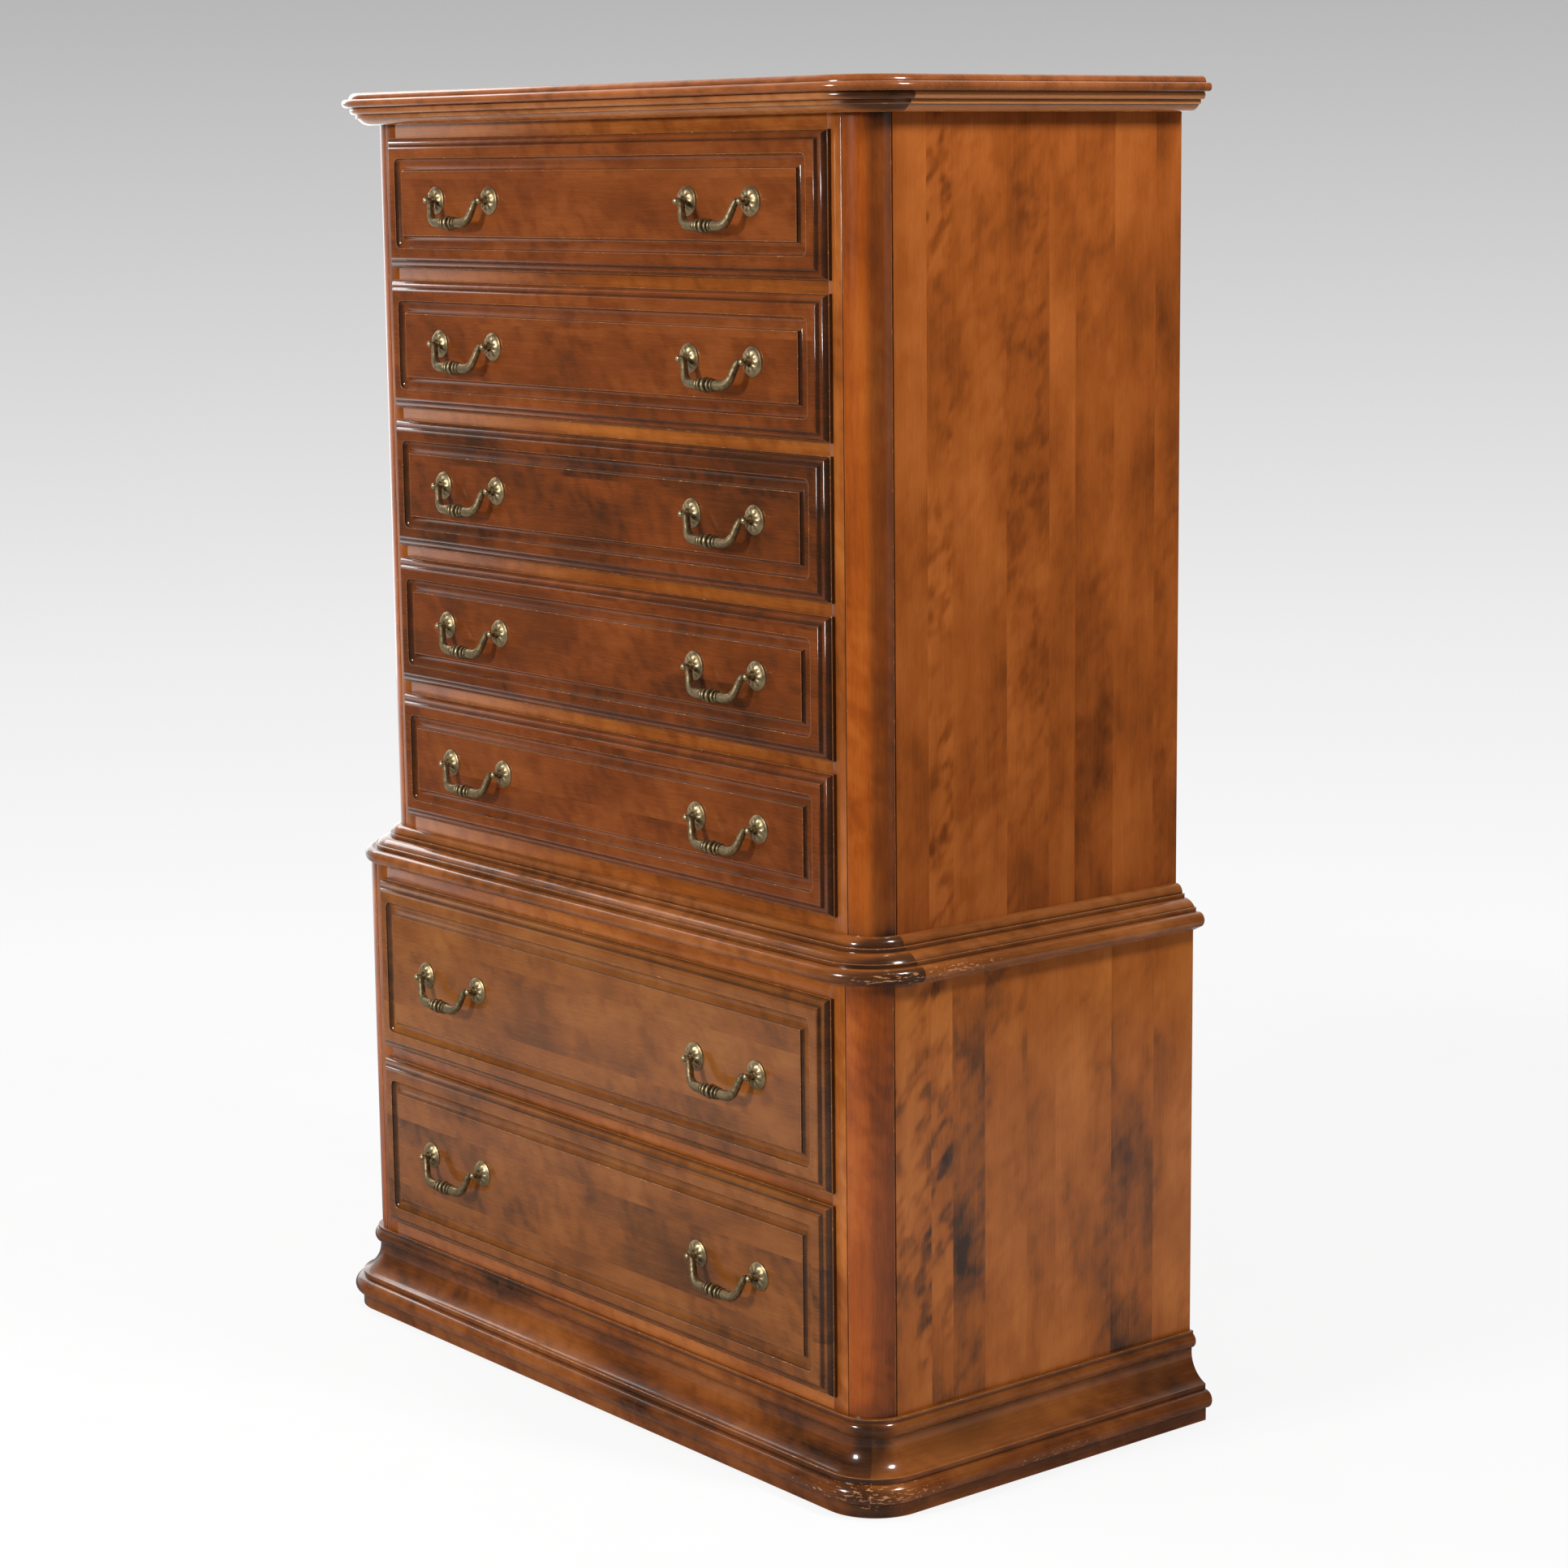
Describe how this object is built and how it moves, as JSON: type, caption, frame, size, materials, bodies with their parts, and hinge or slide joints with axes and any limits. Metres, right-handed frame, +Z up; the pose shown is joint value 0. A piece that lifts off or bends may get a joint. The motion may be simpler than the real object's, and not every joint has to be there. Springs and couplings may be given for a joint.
{
  "type": "chest on chest",
  "caption": "Wooden chest on chest: an upper case of drawers on a wider lower case, rounded corner posts, stepped mouldings, lipped drawer fronts and brass bail pulls.",
  "frame": {"origin": "on the floor, in the middle of the footprint with the pulls included", "axes": "+X to the viewer's right, the drawers open towards -Y, +Z up"},
  "size_m": [1.07, 0.53, 1.533],
  "materials": {
    "case_wood": "lacquered warm orange-brown side panels of glued vertical staves",
    "post_wood": "lacquered rounded posts, vertical grain",
    "frame_wood": "lacquered face frame and rails",
    "front_wood": "lacquered reddish brown drawer fronts, dark glaze in the recesses",
    "moulding_wood": "lacquered mouldings with worn edges and dark glazed quirks",
    "top_wood": "lacquered top board",
    "inner_wood": "pale unstained drawer and case wood, sanded",
    "back_wood": "thin unlacquered back panels",
    "pull_brass": "antique brass, dark in the recesses, worn bright on top",
    "screw_steel": "plain steel screws"
  },
  "bodies": {
    "carcase": {"upper_side_right": "case_wood", "upper_side_left": "case_wood", "upper_corner_posts": "post_wood", "upper_back_panel": "back_wood", "lower_side_right": "case_wood", "lower_side_left": "case_wood", "lower_corner_posts": "post_wood", "lower_back_panel": "back_wood", "upper_face_frame": "frame_wood", "lower_face_frame": "frame_wood", "upper_runners": "inner_wood", "lower_runners": "inner_wood", "upper_bottom_board": "inner_wood", "lower_top_board": "inner_wood", "top_board": "top_wood", "cornice_front": "moulding_wood", "cornice_right": "moulding_wood", "cornice_left": "moulding_wood", "waist_front": "moulding_wood", "waist_right": "moulding_wood", "waist_left": "moulding_wood", "base_front": "moulding_wood", "base_right": "moulding_wood", "base_left": "moulding_wood", "fixing_screws": "screw_steel"},
    "drawer_1": {"drawer_1_front": "front_wood", "drawer_1_box": "inner_wood", "drawer_1_pull_mounts": "pull_brass"},
    "drawer_1_bail_left": {"drawer_1_bail_left": "pull_brass"},
    "drawer_1_bail_right": {"drawer_1_bail_right": "pull_brass"},
    "drawer_2": {"drawer_2_front": "front_wood", "drawer_2_box": "inner_wood", "drawer_2_pull_mounts": "pull_brass"},
    "drawer_2_bail_left": {"drawer_2_bail_left": "pull_brass"},
    "drawer_2_bail_right": {"drawer_2_bail_right": "pull_brass"},
    "drawer_3": {"drawer_3_front": "front_wood", "drawer_3_box": "inner_wood", "drawer_3_pull_mounts": "pull_brass"},
    "drawer_3_bail_left": {"drawer_3_bail_left": "pull_brass"},
    "drawer_3_bail_right": {"drawer_3_bail_right": "pull_brass"},
    "drawer_4": {"drawer_4_front": "front_wood", "drawer_4_box": "inner_wood", "drawer_4_pull_mounts": "pull_brass"},
    "drawer_4_bail_left": {"drawer_4_bail_left": "pull_brass"},
    "drawer_4_bail_right": {"drawer_4_bail_right": "pull_brass"},
    "drawer_5": {"drawer_5_front": "front_wood", "drawer_5_box": "inner_wood", "drawer_5_pull_mounts": "pull_brass"},
    "drawer_5_bail_left": {"drawer_5_bail_left": "pull_brass"},
    "drawer_5_bail_right": {"drawer_5_bail_right": "pull_brass"},
    "drawer_6": {"drawer_6_front": "front_wood", "drawer_6_box": "inner_wood", "drawer_6_pull_mounts": "pull_brass"},
    "drawer_6_bail_left": {"drawer_6_bail_left": "pull_brass"},
    "drawer_6_bail_right": {"drawer_6_bail_right": "pull_brass"},
    "drawer_7": {"drawer_7_front": "front_wood", "drawer_7_box": "inner_wood", "drawer_7_pull_mounts": "pull_brass"},
    "drawer_7_bail_left": {"drawer_7_bail_left": "pull_brass"},
    "drawer_7_bail_right": {"drawer_7_bail_right": "pull_brass"}
  },
  "joints": [
    {"name": "drawer_1_slide", "type": "slide", "parent": "carcase", "child": "drawer_1", "axis": [0, -1, 0], "range_m": [0, 0.3]},
    {"name": "drawer_1_bail_left_swing", "type": "hinge", "parent": "drawer_1", "child": "drawer_1_bail_left", "pos_m": [-0.245, -0.22247, 1.40425], "axis": [-1, 0, 0], "range_deg": [0, 90]},
    {"name": "drawer_1_bail_right_swing", "type": "hinge", "parent": "drawer_1", "child": "drawer_1_bail_right", "pos_m": [0.245, -0.22247, 1.40425], "axis": [-1, 0, 0], "range_deg": [0, 90]},
    {"name": "drawer_2_slide", "type": "slide", "parent": "carcase", "child": "drawer_2", "axis": [0, -1, 0], "range_m": [0, 0.3]},
    {"name": "drawer_2_bail_left_swing", "type": "hinge", "parent": "drawer_2", "child": "drawer_2_bail_left", "pos_m": [-0.245, -0.22247, 1.23475], "axis": [-1, 0, 0], "range_deg": [0, 90]},
    {"name": "drawer_2_bail_right_swing", "type": "hinge", "parent": "drawer_2", "child": "drawer_2_bail_right", "pos_m": [0.245, -0.22247, 1.23475], "axis": [-1, 0, 0], "range_deg": [0, 90]},
    {"name": "drawer_3_slide", "type": "slide", "parent": "carcase", "child": "drawer_3", "axis": [0, -1, 0], "range_m": [0, 0.3]},
    {"name": "drawer_3_bail_left_swing", "type": "hinge", "parent": "drawer_3", "child": "drawer_3_bail_left", "pos_m": [-0.245, -0.22247, 1.06525], "axis": [-1, 0, 0], "range_deg": [0, 90]},
    {"name": "drawer_3_bail_right_swing", "type": "hinge", "parent": "drawer_3", "child": "drawer_3_bail_right", "pos_m": [0.245, -0.22247, 1.06525], "axis": [-1, 0, 0], "range_deg": [0, 90]},
    {"name": "drawer_4_slide", "type": "slide", "parent": "carcase", "child": "drawer_4", "axis": [0, -1, 0], "range_m": [0, 0.3]},
    {"name": "drawer_4_bail_left_swing", "type": "hinge", "parent": "drawer_4", "child": "drawer_4_bail_left", "pos_m": [-0.245, -0.22247, 0.89575], "axis": [-1, 0, 0], "range_deg": [0, 90]},
    {"name": "drawer_4_bail_right_swing", "type": "hinge", "parent": "drawer_4", "child": "drawer_4_bail_right", "pos_m": [0.245, -0.22247, 0.89575], "axis": [-1, 0, 0], "range_deg": [0, 90]},
    {"name": "drawer_5_slide", "type": "slide", "parent": "carcase", "child": "drawer_5", "axis": [0, -1, 0], "range_m": [0, 0.3]},
    {"name": "drawer_5_bail_left_swing", "type": "hinge", "parent": "drawer_5", "child": "drawer_5_bail_left", "pos_m": [-0.245, -0.22247, 0.72625], "axis": [-1, 0, 0], "range_deg": [0, 90]},
    {"name": "drawer_5_bail_right_swing", "type": "hinge", "parent": "drawer_5", "child": "drawer_5_bail_right", "pos_m": [0.245, -0.22247, 0.72625], "axis": [-1, 0, 0], "range_deg": [0, 90]},
    {"name": "drawer_6_slide", "type": "slide", "parent": "carcase", "child": "drawer_6", "axis": [0, -1, 0], "range_m": [0, 0.3]},
    {"name": "drawer_6_bail_left_swing", "type": "hinge", "parent": "drawer_6", "child": "drawer_6_bail_left", "pos_m": [-0.271, -0.25047, 0.45975], "axis": [-1, 0, 0], "range_deg": [0, 90]},
    {"name": "drawer_6_bail_right_swing", "type": "hinge", "parent": "drawer_6", "child": "drawer_6_bail_right", "pos_m": [0.271, -0.25047, 0.45975], "axis": [-1, 0, 0], "range_deg": [0, 90]},
    {"name": "drawer_7_slide", "type": "slide", "parent": "carcase", "child": "drawer_7", "axis": [0, -1, 0], "range_m": [0, 0.3]},
    {"name": "drawer_7_bail_left_swing", "type": "hinge", "parent": "drawer_7", "child": "drawer_7_bail_left", "pos_m": [-0.271, -0.25047, 0.23025], "axis": [-1, 0, 0], "range_deg": [0, 90]},
    {"name": "drawer_7_bail_right_swing", "type": "hinge", "parent": "drawer_7", "child": "drawer_7_bail_right", "pos_m": [0.271, -0.25047, 0.23025], "axis": [-1, 0, 0], "range_deg": [0, 90]}
  ]
}
